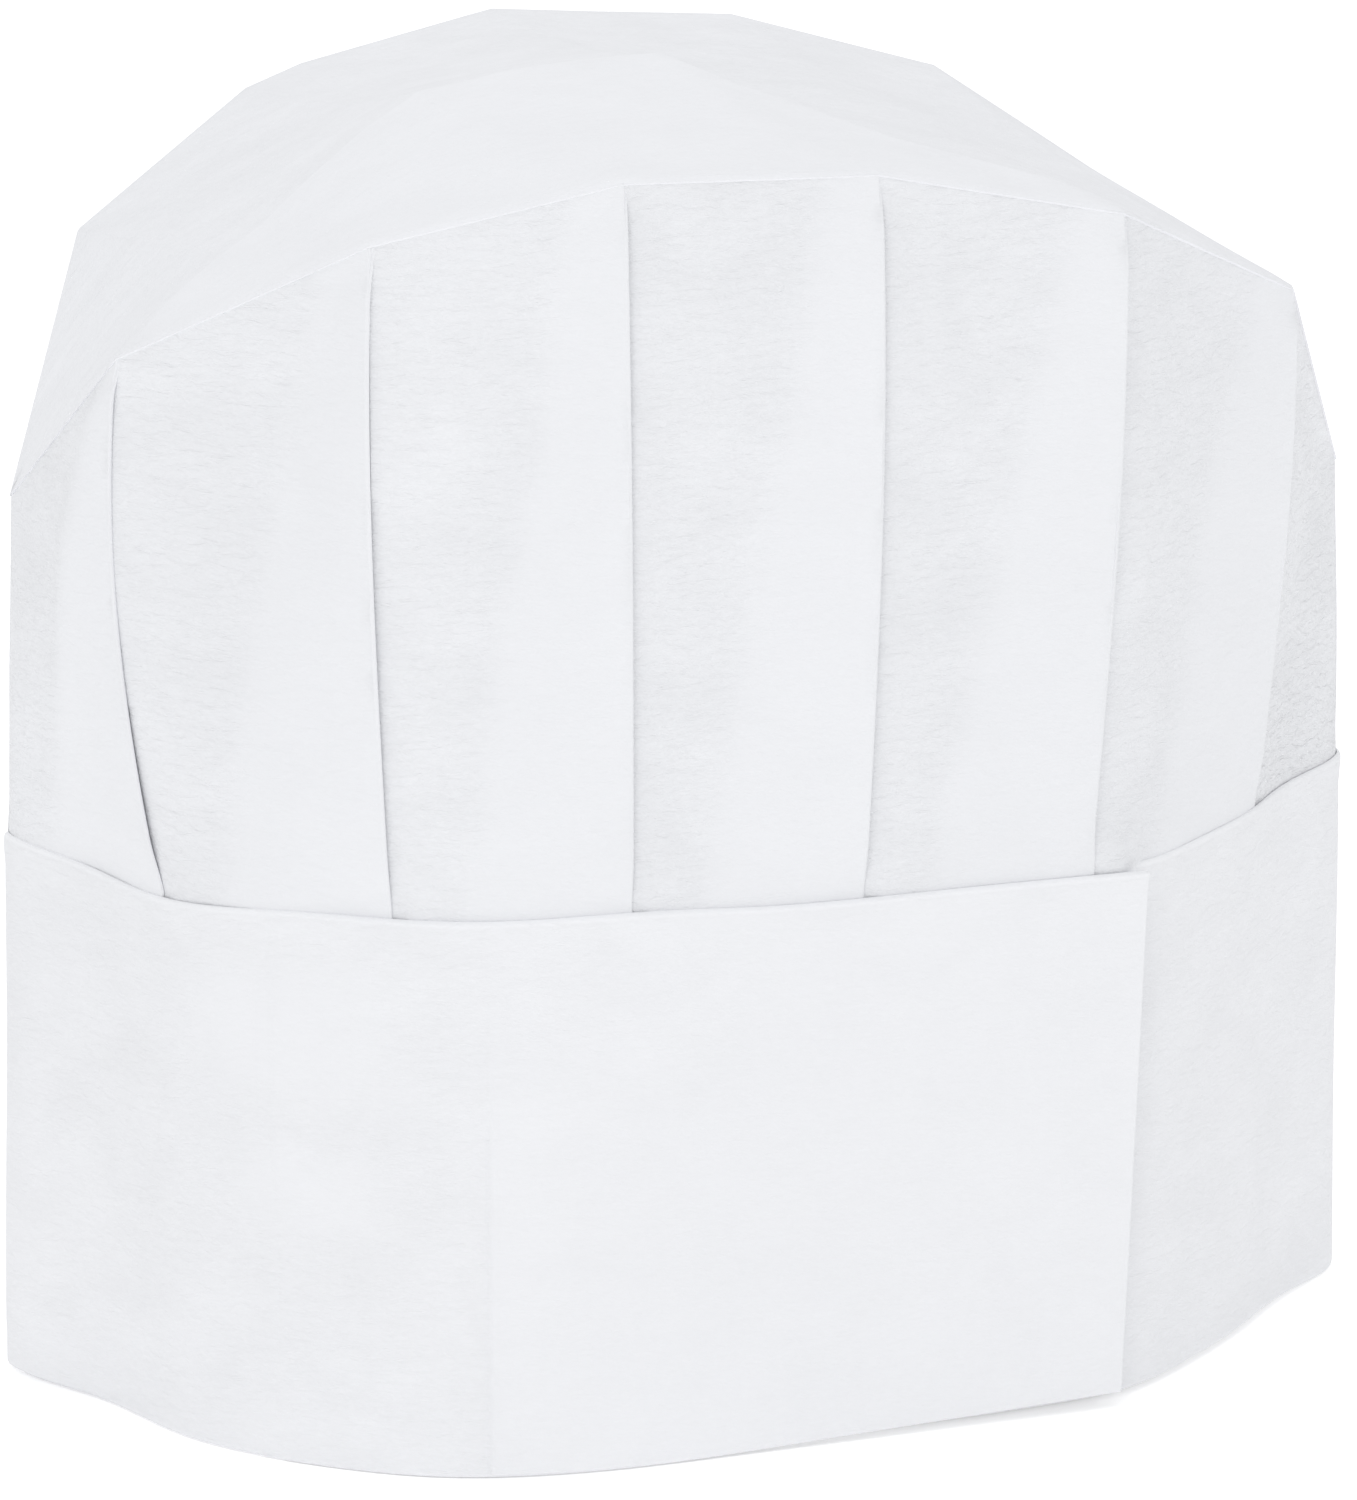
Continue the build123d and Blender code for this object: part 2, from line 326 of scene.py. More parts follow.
def add_painted_hem_highlight(graph, uv, colour):
    """Painted highlight: the pressed fold along the band's upper edge is painted whiter, as
    where it catches the light; v is in metres.
    """
    split = graph.node("SeparateXYZ", {0: uv})
    step = graph.node("MapRange", {"From Min": 0.0884, "From Max": 0.0892,
                                   "Value": split.outputs["Y"]},
                      interpolation_type="SMOOTHSTEP")
    return graph.mix_colour(step.outputs[0], colour, (0.850, 0.855, 0.876, 1))


def nonwoven(name, tone, fleck=1.0, cloud=1.0, rough=0.86, specks=True, bump=1.0, hem=False,
             layered=False):
    """Nonwoven fabric: fleck weighs the fibres, cloud the contrast, hem adds a painted
    highlight on the band's upper edge, layered reads the vertex attribute of layers and painted
    light.
    """
    material = bpy.data.materials.new(name)
    material.use_nodes = True
    graph = Graph(material.node_tree)
    output = graph.node("OutputMaterial")
    shader = graph.node("BsdfPrincipled", {"Specular IOR Level": 0.25, "Sheen Weight": 0.12,
                                           "Sheen Roughness": 0.6})
    graph.feed(output.inputs[0], shader.outputs[0])
    uv = graph.node("UVMap", uv_map="UVMap").outputs[0]
    fibre = graph.noise(uv, (760, 2200), detail=3, rough=0.66, distort=1.1)
    crimp = graph.noise(uv, (240, 720), detail=3, rough=0.55, distort=1.0, place=(3, 7, 0))
    web = graph.noise(uv, (60, 80), detail=4, rough=0.6, distort=0.4, place=(11, 2, 0))
    drift = graph.noise(uv, (14, 18), detail=2, rough=0.5, distort=0.2, place=(5, 31, 0))
    ply_and_painted_light = None
    if layered:
        ply_and_painted_light = graph.node("Attribute", attribute_name="ply_and_painted_light").outputs["Fac"]

    colour = web_colour(graph, fibre, web, drift, tone, fleck, cloud, ply_and_painted_light)
    if specks:
        colour = add_specks(graph, uv, colour)
    # hem paints a highlight along the band's upper edge
    if hem:
        colour = add_painted_hem_highlight(graph, uv, colour)
    graph.feed(shader.inputs["Base Color"], colour)
    # the web varies the roughness by 0.16 around its mean
    graph.feed(shader.inputs["Roughness"],
               graph.math("ADD", graph.math("MULTIPLY", web, 0.16), rough - 0.08))

    fine = graph.node("Bump", {"Strength": 0.30 * bump, "Distance": 0.00022, "Height": fibre})
    coarse = graph.node("Bump", {"Strength": 0.42 * bump, "Distance": 0.0007, "Height": crimp,
                                 "Normal": fine.outputs[0]})
    if ply_and_painted_light:
        # two sheets together are flatter; the painted shade and painted highlight in the
        # attribute change the bumps as well
        relief = graph.math("SUBTRACT", 1.3, graph.math("MULTIPLY", ply_and_painted_light, 0.70))
        relief = graph.math("MAXIMUM", relief, 0.3)
        for node, strength in ((fine, 0.30), (coarse, 0.42)):
            graph.feed(node.inputs["Strength"], graph.math("MULTIPLY", relief, strength * bump))
    graph.feed(shader.inputs["Normal"], coarse.outputs[0])
    return material


mat_crown = nonwoven("nonwoven_crown", tone=(0.792, 0.798, 0.820), cloud=0.9, layered=True)
mat_top = nonwoven("nonwoven_top", tone=(0.812, 0.818, 0.842), fleck=0.9, cloud=0.9,
                   layered=True)
# the band's material carries the painted hem highlight
mat_band = nonwoven("nonwoven_band", tone=(0.799, 0.804, 0.825), fleck=0.8, cloud=0.9,
                    bump=0.8, hem=True, layered=True)
mat_seam = nonwoven("pressed_seam", tone=(0.80, 0.81, 0.845), fleck=1.2, cloud=1.4,
                    specks=False)
mat_tape = nonwoven("adhesive_film", tone=(0.74, 0.73, 0.66), fleck=0.5, rough=0.42,
                    specks=False, bump=0.4)
mat_glue = nonwoven("hot_melt", tone=(0.78, 0.74, 0.60), fleck=0.4, rough=0.35,
                    specks=False, bump=0.5)


def finish_piece(ob, material, slot, *nodes):
    ob.data.materials.append(material)
    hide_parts(*nodes)


# ------------------------------------------------------------------ headband
BAND_H = 85.0
BAND_SHEET = 0.36       # thickness of each of the band's two walls
BAND_GAP = 2.9          # space between the two walls
GAP_FLOOR = 0.6         # height of the bottom of that space
HEM = 0.28              # how far the rolled upper edge stands out
HEM_V = 88.0            # texture height where the rolled hem starts

ARC_ROOT = arc_of_x(-86.0, 20, 90)      # the strip leaves the loop to run over its own end
ARC_FLAT = arc_of_x(-22.0, 60, 140)     # the overlap becomes flat
ARC_END = arc_of_x(-59.0, 60, 140)      # the strip's inner end, under the overlap
ARC_LIFT = arc_of_x(46.0, 150, 230)     # below the overlap's free end

# Rises and dips of the band's upper edge: height, arc of the centre, width.
TOP_HUMPS = [(2.6, 84.0, 34.0), (1.2, 2.0, 16.0), (-1.4, 42.0, 22.0), (-0.7, 84.0, 20.0),
             (1.2, 124.0, 18.0)]


def band_top(arc):
    arc = arc % GIRTH
    return BAND_H + 0.25 * np.sin(arc / 21.0) \
        + sum(height * hump(arc, centre, width) for height, centre, width in TOP_HUMPS)


def band_foot(arc):
    """The lower edge runs a little high under the overlap's free end."""
    arc = arc % GIRTH
    return 0.9 * smooth(112.0, 196.0, arc) * smooth(288.0, 250.0, arc)


def band_face(arc, z):
    """Offset of the outer face: unevenness, a flare at the left end and a shallow dent."""
    from_left = (arc + 60.0) % GIRTH - 60.0
    uneven = 0.30 * wave(arc, z, 3, 46.0) * smooth(0, 10, z) * smooth(0, 8, 90 - z)
    flare = 1.2 * (1 - np.clip(z, 0, BAND_H) / BAND_H) * hump(from_left, 4.0, 20.0)
    dent = 0.35 * hump(z, 44.0, 7.0) * hump(arc % GIRTH, 70, 22.0)
    return uneven + flare - dent


def hem_rise(z, height):
    """The rolled hem standing out from the face, just below the upper edge."""
    return HEM * smooth(height - 3.2, height - 2.0, z)


def hem_v(z, height):
    """Texture height: the rolled hem always falls in the same strip."""
    start = height - 1.5
    return np.where(z < start, z * HEM_V / start, HEM_V + z - start)


def band_ply_and_painted_highlight(arc, z):
    """Painted highlight patches on the band's left front, and where the overlap doubles the
    band.
    """
    arc = arc % GIRTH
    # two painted highlight patches, lighter where light falls on the band's curve
    painted_highlight = 1.15 * np.exp(-(((arc - 66.0) / 17.0) ** 4 + ((z - 68.0) / 10.5) ** 4)) \
        + 0.95 * np.exp(-(((arc - 71.0) / 12.0) ** 4 + ((z - 43.0) / 6.0) ** 4))
    doubled = (ARC_END - 0.2 < arc < ARC_LIFT + 3) * (
        0.25 + 0.75 * smooth(70, 56, z)
        + 0.6 * smooth(56, 70, z) * smooth(ARC_END, ARC_END + 50, arc))
    return 0.30 + 0.75 * painted_highlight + 0.65 * doubled


def band_section(arc):
    """Closed outline of the double band: columns offset, height."""
    place = arc % GIRTH
    # the loop stays lower, and lies further in, behind the overlap
    height = band_top(arc) - 2.4 * smooth(ARC_ROOT + 2, ARC_ROOT + 9, place) \
        * smooth(ARC_LIFT - 1, ARC_LIFT - 8, place)
    under = 0.66 * smooth(ARC_ROOT + 0.1, ARC_ROOT + 1.6, place) \
        * (ARC_ROOT - 1 < place < ARC_END)
    inner = -(BAND_SHEET + BAND_GAP)
    back = inner - BAND_SHEET
    face_z = np.linspace(1.0, height - 1.5, 26)
    hem_turn = np.linspace(0.15, math.pi / 2, 7)
    gap_z = np.linspace(height - 2.0, GAP_FLOOR + 1.5, 12)
    inner_turn = np.linspace(0.1, math.pi - 0.1, 6)
    back_z = np.linspace(height - 2.2, 1.0, 16)
    foot_turn = np.linspace(0.3, 1.2, 3)
    return np.vstack([
        # outer wall: face, rolled upper edge, side towards the gap
        outline_part(band_face(arc, face_z) - under + hem_rise(face_z, height), face_z),
        outline_part(band_face(arc, height) - under - BAND_SHEET
                     + (BAND_SHEET + HEM) * np.cos(hem_turn),
                     height - 0.8 + 0.8 * np.sin(hem_turn)),
        outline_part(band_face(arc, gap_z) - under - BAND_SHEET, gap_z),
        # bottom of the gap
        outline_part(-BAND_SHEET - BAND_GAP * 0.3 - under * 0.5, GAP_FLOOR),
        outline_part(-BAND_SHEET - BAND_GAP * 0.7, GAP_FLOOR),
        # inner wall: side towards the gap, upper edge, innermost side
        outline_part(inner, np.linspace(GAP_FLOOR + 1.5, height - 1.8, 12)),
        outline_part(inner + BAND_SHEET / 2 * (np.cos(inner_turn) - 1),
                     height - 1.6 + 0.4 * np.sin(inner_turn)),
        outline_part(back + 0.12 * wave(arc, back_z, 9, 40.0), back_z),
        # bottom fold
        outline_part(back + 0.5 * (1 - np.cos(foot_turn)), 1.0 - np.sin(foot_turn)),
        outline_part(inner + 0.6, 0.0),
        outline_part(-0.9, 0.0),
        outline_part(-0.5 * (1 - np.cos(foot_turn[::-1])) - under,
                     1.0 - np.sin(foot_turn[::-1])),
    ])


def band_loop():
    """One turn from the strip's inner end, with closer stations near both of its ends."""
    arcs = np.r_[np.linspace(ARC_END + 1.0, ARC_END + GIRTH - 26.0, 330),
                 np.linspace(ARC_END + GIRTH - 25.0, ARC_END + GIRTH - 1.0, 40)]
    arcs = np.unique(np.r_[arcs, ARC_ROOT + GIRTH + np.linspace(-1.0, 2.0, 9)])
    rings, uvs, ply_and_painted_light = [], [], []
    for arc in arcs:
        offset, z = band_section(arc).T
        height, foot = z.max(), band_foot(arc)
        rings.append(np.c_[at(arc, offset), foot + z * (1 - foot / height)])
        uvs.append(outline_part(arc, hem_v(z, height)))
        covered = ARC_ROOT < arc % GIRTH < ARC_LIFT + 4
        ply_and_painted_light.append(np.where(covered, 0.4, band_ply_and_painted_highlight(arc, z)))
    ob = tube("band_loop", rings, uvs)
    mark(ob, np.concatenate(ply_and_painted_light))
    return ob


headband = band_loop()
finish_piece(headband, mat_band, "band_sheet", "headband")
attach(headband, "hat")

# ------------------------------------------------------------------ overlapping end
TAIL_T = 0.95           # full thickness of the overlap
ROOT_T = 0.5            # its thickness where it leaves the loop
TAIL_OUT = 1.4          # how far it steps out over the strip's inner end
FLAT_Y = -71.6          # y of its outer face where flat
X_SPLIT = 4.0           # the bending part ends and the tip begins
X_LEAN = 20.0           # the tip starts to lean and lift
X_TIP = 47.0            # free end
X_FOOT = -30.0          # the lower edge starts to rise
TIP_LEAN = 3.8          # shift of the free end's foot towards -x
TIP_FOOT = 2.3          # rise of the free end's lower edge
TIP_ROUND = 0.35        # length over which the free end is rounded


def tail_face(x, arc, z):
    """Plan position and outward direction of the overlap's outer face."""
    curved = at(arc, TAIL_OUT * smooth(ARC_ROOT, ARC_END, arc))
    flatness = smooth(ARC_FLAT - 26, ARC_FLAT + 12, arc)
    lift = 0.2 * smooth(X_LEAN, X_TIP, x) * (1.0 - 0.3 * z / BAND_H)
    flat = np.stack(np.broadcast_arrays(x, FLAT_Y - lift), -1)
    normal = outward(arc) * (1 - flatness) + np.array([0.0, -1.0]) * flatness
    return curved * (1 - flatness) + flat * flatness, normal / np.linalg.norm(normal)


def tail_thickness(arc):
    return ROOT_T + (TAIL_T - ROOT_T) * smooth(ARC_ROOT + 2, ARC_ROOT + 14, arc)


def tail_section(arc, height, thick):
    """Closed outline of the overlap: columns offset, height."""
    ease = smooth(ARC_ROOT, ARC_ROOT + 15, arc)
    face_z = np.linspace(0.7, height - 1.5, 30)
    # a ridge shows where the strip's inner end lies beneath
    ridge = 0.48 * smooth(ARC_END - 0.6, ARC_END + 0.3, arc) * smooth(66, 50, face_z) \
        * (1 - smooth(ARC_END + 6, ARC_END + 40, arc))
    face = band_face(arc, face_z) * (1 - 0.2 * ease) + ridge \
        + 0.10 * wave(arc, face_z, 21, 30.0) * ease \
        - 0.25 * smooth(ARC_ROOT + 0.1, ARC_ROOT - 1.6, arc)
    top_face = band_face(arc, height) * (1 - 0.2 * ease)
    hem_turn = np.linspace(0.15, math.pi / 2, 7)
    foot_turn = np.linspace(0.4, math.pi - 0.4, 7)
    return np.vstack([
        # outer face, rounded upper edge, inner face, bottom fold
        outline_part(face + hem_rise(face_z, height), face_z),
        outline_part(-thick + (top_face + HEM + thick) * np.cos(hem_turn),
                     height - 0.6 + 0.6 * np.sin(hem_turn)),
        outline_part(-thick, np.linspace(height - 2.4, 0.7, 22)),
        outline_part(-thick / 2 * (1 + np.cos(foot_turn)), 0.7 - 0.7 * np.sin(foot_turn)),
    ])


def tail_strip(name, stations):
    """Part of the overlap through stations along x."""
    rings, uvs, ply_and_painted_light = [], [], []
    for x in stations:
        arc = arc_of_x(x, 20, 240)
        height, thick = band_top(arc), tail_thickness(arc)
        offset, z = tail_section(arc, height, thick).T
        # the thickness tapers at the free end
        taper = 0.55 + 0.45 * min(1.0, math.sqrt(max(0.0, X_TIP - x) / TIP_ROUND))
        offset = -thick / 2 + (offset + thick / 2) * taper
        lean = TIP_LEAN * (1 - np.minimum(1.0, z / BAND_H)) \
            * max(0.0, x - X_LEAN) / (X_TIP - X_LEAN)
        foot = max(band_foot(arc),
                   TIP_FOOT * min(1.0, max(0.0, (x - X_FOOT) / (X_TIP - X_FOOT))))
        place, normal = tail_face(x, arc, z)
        rings.append(np.column_stack([place[:, 0] + normal[0] * offset - lean,
                                      place[:, 1] + normal[1] * offset,
                                      foot + z * (1 - foot / height)]))
        uvs.append(outline_part(arc + GIRTH, hem_v(z, height)))
        # painted highlight: the last millimetre of the free end is painted lighter
        ply_and_painted_light.append(band_ply_and_painted_highlight(arc, z) + 0.9 * smooth(X_TIP - 1.1, X_TIP - 0.4, x))
    ob = tube(name, rings, uvs)
    mark(ob, np.concatenate(ply_and_painted_light))
    return ob


# extra stations where the overlap leaves the loop and where it crosses the inner end
tail = tail_strip("band_overlap", np.unique(np.r_[
    np.linspace(-88.0, -85.6, 9), np.linspace(-86.0, X_SPLIT, 78),
    np.linspace(-60.8, -57.4, 15)]))
finish_piece(tail, mat_band, "band_sheet", "tail_bend", "band_tail")
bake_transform(tail)

tip = tail_strip("band_overlap_tip", np.r_[
    np.linspace(X_SPLIT, X_TIP, 44)[:-1], X_TIP - TIP_ROUND, X_TIP - 0.1, X_TIP])
finish_piece(tip, mat_band, "band_sheet", "tail_tip")
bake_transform(tip)

# ------------------------------------------------------------------ crown walls
WALL_T = 0.32           # thickness of the wall's sheet
WALL_OFF = -1.5         # offset of the walls inside the band
LAY = 0.85              # how far a fold's edge stands above the plan
UNDER = 11.0            # how far a fold runs back under its panel
LAYER_GAP = 0.42        # between a fold's layers on the open wall
HEM_LAYER_GAP = 0.26    # between them inside the band
CREASE_SOFT = 0.10      # half-width of a panel's rounded crease, as a share of the panel

LEFT_CORNER = (-105.9, 13.0, 139.5)
RIGHT_CORNER = (106.3, -13.0, 132.5)
# Arc of each outer fold at the band, its top corner (x, y, z), the sideways bow of the fold.
# The first and last rows are the side seams.
FRONT = [
    (0.05, LEFT_CORNER, 0.0),
    (41.9, (-102.2, -25.4, 168.0), -4.6),
    (84.3, (-76.2, -63.1, 190.0), -0.8),
    (120.7, (-40.4, -73.6, 198.5), 0.0),
    (158.3, (0.2, -73.9, 196.9), 0.7),
    (196.4, (41.4, -71.8, 187.6), 0.7),
    (247.2, (83.8, -42.8, 167.2), 0.4),
    (GIRTH / 2 - 0.05, RIGHT_CORNER, 0.0),
]
BACK = [
    (GIRTH / 2 + 0.05, RIGHT_CORNER, 0.0),
    (348.1, (94.4, 42.5, 166.7), 0.8),
    (381.6, (70.9, 65.6, 185.0), -0.6),
    (413.1, (38.9, 73.5, 194.1), 0.5),
    (450.5, (-2.8, 73.9, 197.7), -0.5),
    (485.0, (-36.0, 72.3, 191.3), 0.7),
    (534.0, (-83.8, 43.1, 173.5), -1.2),
    (GIRTH - 0.05, LEFT_CORNER, 0.0),
]
# Extra top corner at the left of the back, in this panel at this share of its width.
SHOULDER, SHOULDER_PANEL, SHOULDER_SHARE = (-48.1, 64.9, 189.4), 5, 0.25

# One value for each outer fold, used for both walls.
SWELL = [0.75, 0.30, 0.0, 0.0, 0.0, 0.0]    # extra depth of each step at mid height
STAND = [1.0, 1.2, 1.5, 1.5, 1.3, 1.2]      # how far each fold swells out at mid height
STEP = [1.15, 1.1, 1.35, 1.4, 1.35, 1.35]   # from each fold's edge down to the next panel
LAST_PANEL = len(STEP)

# Rows of the walls: heights inside the band, then shares of the rise to the upper edge.
BAND_ROWS = np.r_[60.0, 66.0, 72.0, 78.0, 80.5, np.linspace(81.5, 84.6, 8)]
RISE_ROWS = np.r_[np.linspace(0, 0.06, 11), np.linspace(0.07, 1, 58)]


def snug(arc):
    """Offset of the band's inner face at its upper edge, where the crown comes out."""
    arc = arc % GIRTH
    height = band_top(arc)
    loop = band_face(arc, height - 1.0) - BAND_SHEET
    lap = smooth(ARC_ROOT + 3, ARC_ROOT + 12, arc) * smooth(ARC_LIFT + 3, ARC_LIFT - 5, arc)
    plan = base(arc)
    place, normal = tail_face(plan[0], arc, height)
    tail_inside = np.dot(place - normal * tail_thickness(arc) - plan, outward(arc))
    return loop * (1 - lap) + tail_inside * lap


def wall_stations(knots):
    """Columns of a wall: panel, share across it, layers below the outer face.

    Layer 0 is the face, 1 the sheet folded back under it, 2 the sheet running on below.
    """
    stations = []
    for panel in range(LAST_PANEL + 1):
        width = knots[panel + 1][0] - knots[panel][0]
        stations += [(panel, t, 0.0) for t in np.linspace(0, 1, 22)]
        if panel == LAST_PANEL:
            continue
        for a in np.linspace(0.25, math.pi, 7):
            stations.append((panel, 1 + 0.42 * math.sin(a) / width, (1 - math.cos(a)) / 2))
        for t in np.linspace(0.12, 0.85, 4):
            stations.append((panel, 1 - UNDER * t / width, 1.0))
        for a in np.linspace(0.0, math.pi, 6):
            stations.append((panel, 1 - (UNDER + 0.4 * math.sin(a)) / width,
                             1 + (1 - math.cos(a)) / 2))
        for t in np.linspace(0.85, 0.1, 4):
            stations.append((panel, 1 - UNDER * t / width, 2.0))
    return stations


def swell_at(rise):
    """Share of the mid-height swelling: 0 at the band and at the upper edge."""
    return math.sin(math.pi * rise ** 1.4)


def crease_at(rise, bulged):
    """Share across a panel where its crease, or the crest of its bulge, lies."""
    return 0.34 + 0.56 * rise if bulged else 0.32 + 0.50 * rise


def panel_offset(panel, across, rise, bulged):
    """Offset of a panel's face, at shares across it and up it."""
    swell = swell_at(rise)
    start = end = 0.0
    if panel > 0:
        before = panel - 1
        start = LAY + STAND[before] * swell - STEP[before] - SWELL[before] * swell
    if panel < LAST_PANEL:
        end = LAY + STAND[panel] * swell
    crease = crease_at(rise, bulged)
    if bulged:
        crest = across / crease if across < crease else (1 - across) / (1 - crease)
        return start + (end - start) * across + 3.2 * crest * swell
    # a shallow crease runs from low beside the first fold to high beside the second
    depth = 0.35 + 1.9 * swell
    bottom = start - depth

    def falling(t):
        return start - depth * t / crease

    def rising(t):
        return bottom + (end - bottom) * (t - crease) / (1 - crease)

    if abs(across - crease) >= CREASE_SOFT:
        return falling(across) if across < crease else rising(across)
    t = (across - crease + CREASE_SOFT) / (2 * CREASE_SOFT)
    return (1 - t) ** 2 * falling(crease - CREASE_SOFT) + 2 * t * (1 - t) * bottom \
        + t * t * rising(crease + CREASE_SOFT)


def face_painted_shade(panel, across, rise, bulged, unevenness):
    """Painted shade: a panel is painted darker before its crease and lighter beyond it, and the
    last panel is painted darker by the right seam.
    """
    if panel == LAST_PANEL:
        return -0.5 - 0.7 * smooth(0.45, 0.0, rise)
    crease = crease_at(rise, bulged)
    return smooth(crease - 0.09, crease + 0.07, across + 0.018 * unevenness)


def crown_wall(name, knots, seed, is_front):
    """One pleated wall, from inside the band up to the top panel's edge."""
    stations = wall_stations(knots)
    arcs = [knots[panel][0] + (knots[panel + 1][0] - knots[panel][0]) * across
            for panel, across, _ in stations]
    runs = np.r_[0.0, np.cumsum(np.minimum(6.0, np.abs(np.diff(arcs)) + 0.2))]
    low = len(BAND_ROWS)
    shape = (low + len(RISE_ROWS), len(stations))
    points, uvs, ply_and_painted_light = np.zeros(shape + (3,)), np.zeros(shape + (2,)), np.ones(shape)
    for c, (panel, across, layer) in enumerate(stations):
        arc = arcs[c]
        is_face = layer == 0
        bulged = is_front and panel == 0
        inside = min(1.0, across)
        (_, start, start_bow), (_, end, end_bow) = knots[panel:panel + 2]
        start, chord = np.array(start), np.array(end) - start
        top = start + chord * across
        if not is_front and panel == SHOULDER_PANEL:
            top = top + (SHOULDER - start - chord * SHOULDER_SHARE) * min(
                inside / SHOULDER_SHARE, (1 - inside) / (1 - SHOULDER_SHARE))
        top_normal = np.array([chord[1], -chord[0]]) / np.linalg.norm(chord[:2])
        normal = outward(arc)
        foot = base(arc)
        side_bow = start_bow + (end_bow - start_bow) * inside
        hem = band_top(arc)
        # just clear of the band's inner face
        tight = snug(arc) - WALL_T / 2 - 0.05
        lean = -BAND_SHEET - 0.25 + 0.85 * smooth(ARC_ROOT - 10, ARC_ROOT + 50, arc) \
            * smooth(ARC_LIFT + 30, ARC_LIFT - 30, arc)
        # by the right side seam both walls lie slightly deeper
        sunk = 0.0
        if is_front and panel == LAST_PANEL:
            sunk = 0.06 * smooth(0.0, 0.07, across)
        elif not is_front and panel == 0:
            sunk = 0.06 * smooth(0.5, 0.0, across)
        hem_layer = layer
        if is_face and panel > 0:
            hem_layer = 2 * smooth(0.09, 0.0, across)

        def at_hem(z):
            """Offset inside the band, stepping out to touch it just under its upper edge."""
            out = smooth(hem - 3.0, hem - 1.5, z)
            return (WALL_OFF + 0.1) * (1 - out) + (tight - sunk) * out \
                - HEM_LAYER_GAP * hem_layer

        for r, z in enumerate(BAND_ROWS):
            points[r, c] = [*(foot + normal * at_hem(z)), z]
            uvs[r, c] = (runs[c], z)
        for r, rise in enumerate(RISE_ROWS, low):
            turned = normal * (1 - rise) + top_normal * rise
            turned /= np.linalg.norm(turned)
            sideways = np.array([-turned[1], turned[0]])
            z = BAND_H + (top[2] - (0.0 if is_face else 0.35) - BAND_H) * rise
            offset = panel_offset(panel, inside, rise, bulged) - LAYER_GAP * layer
            if layer >= 2:
                # the lowest layer drops to the level of the next panel
                drop = STEP[panel] - 2 * LAYER_GAP + SWELL[panel] * swell_at(rise)
                offset -= drop * smooth(0.88, 0.99, inside)
            # the pleats are pressed flat towards the upper edge
            press = smooth(0.92, 1.0, rise)
            offset = offset * (1 - 0.9 * press) - (0.0 if is_face else 0.3) * press
            offset += (lean - sunk * smooth(0.40, 0.0, rise)) * (1 - rise)
            if is_face:
                offset += 0.16 * wave(arc, z, seed + panel, 26.0) \
                    * math.sin(math.pi * rise) ** 0.7
                # painted shade on the panel faces
                ply_and_painted_light[r, c] = face_painted_shade(panel, across, rise, bulged, wave(arc, z, 91, 22.0))
            hug = smooth(hem + 9.0, hem, z)
            offset = offset * (1 - hug) + at_hem(z) * hug
            place = foot + (top[:2] - foot) * rise + turned * offset \
                + sideways * side_bow * 4 * rise * (1 - rise)
            points[r, c] = [*place, z]
            uvs[r, c] = (runs[c], z)
    ob = sheet(name, points, uvs, WALL_T)
    mark(ob, np.r_[ply_and_painted_light.ravel(), ply_and_painted_light.ravel()])
    return ob


def finish_crown(ob, material, slot, node):
    """A crown piece rides the hat."""
    finish_piece(ob, material, slot, node)
    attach(ob, "hat")
    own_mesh(ob)


front_wall = crown_wall("crown_wall_front", FRONT, seed=40, is_front=True)
back_wall = crown_wall("crown_wall_back", BACK, seed=60, is_front=False)
finish_crown(front_wall, mat_crown, "crown_sheet", "crown_front")
finish_crown(back_wall, mat_crown, "crown_sheet", "crown_back")

# ------------------------------------------------------------------ top panel
TOP_OVERHANG = 0.24     # how far the panel reaches past the walls' upper edge
TOP_RAISE = 0.24        # how far it lies above that edge
TOP_T = 0.36
RIDGE_SOFT = 0.016      # rounding of the ridge, as a share of each slope

# Corners of the walls' upper edge, all the way round.
CROWN_EDGE = np.array([corner for _, corner, _ in FRONT + BACK[1:SHOULDER_PANEL + 1]]
                      + [SHOULDER] + [corner for _, corner, _ in BACK[SHOULDER_PANEL + 1:-1]])
# Ridge of the top panel: x, y, z.
RIDGE = np.array([
    (-102.9, -25.0, 168.1), (-87.3, -21.0, 178.4), (-71.5, -17.0, 188.6),
    (-58.2, -14.0, 197.2), (-48.3, -12.0, 202.0), (-34.5, -10.0, 203.3), (-20.7, -8.5, 203.9),
    (-7.3, -8.0, 204.3), (0.9, -20.0, 201.0), (9.0, -32.0, 198.2), (17.5, -43.0, 195.2),
    (29.4, -57.0, 192.2), (41.6, -70.0, 189.1),
])
# Rows of the panel: shares from the front edge to the ridge, then from the ridge back.
FRONT_ROWS = np.r_[0, 0.006, 0.013, np.linspace(0.03, 0.96, 26), 0.990, 1]
BACK_ROWS = np.r_[0.006, np.linspace(0.04, 0.97, 28), 0.988, 0.995, 1]


def grown_edge(distance):
    """The walls' upper edge moved outward, with mitred corners."""
    side = np.roll(CROWN_EDGE, -1, 0)[:, :2] - CROWN_EDGE[:, :2]
    normal = np.stack([side[:, 1], -side[:, 0]], -1) / np.hypot(*side.T)[:, None]
    before = np.roll(normal, 1, 0)
    edge = CROWN_EDGE.copy()
    edge[:, :2] += (normal + before) / (1 + (normal * before).sum(1))[:, None] * distance
    return edge


def along_x(line, x):
    """y and z of a line of points at x."""
    return [np.interp(x, line[:, 0], line[:, i]) for i in (1, 2)]


